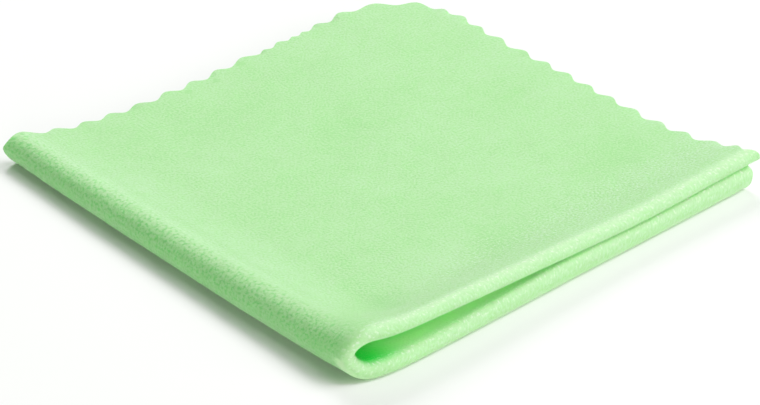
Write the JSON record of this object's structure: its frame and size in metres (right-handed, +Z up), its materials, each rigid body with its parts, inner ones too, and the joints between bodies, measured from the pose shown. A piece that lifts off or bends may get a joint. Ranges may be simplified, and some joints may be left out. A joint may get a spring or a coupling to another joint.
{
  "type": "microfibre cloth",
  "caption": "Soft pale green microfibre cleaning cloth with a pinked wavy edge, folded twice into a square and lying flat.",
  "frame": {"origin": "middle of the folded cloth's box, on the surface that it lies on", "axes": "+Z up; +X from the second fold to the pinked edge across from it; +Y from the two lips of the first fold to the other pinked edge"},
  "size_m": [0.1026, 0.103, 0.0109],
  "materials": {
    "cloth": "matt brushed microfibre knit with a short soft nap, pale green"
  },
  "bodies": {
    "root": {"cloth": "cloth"}
  },
  "joints": []
}
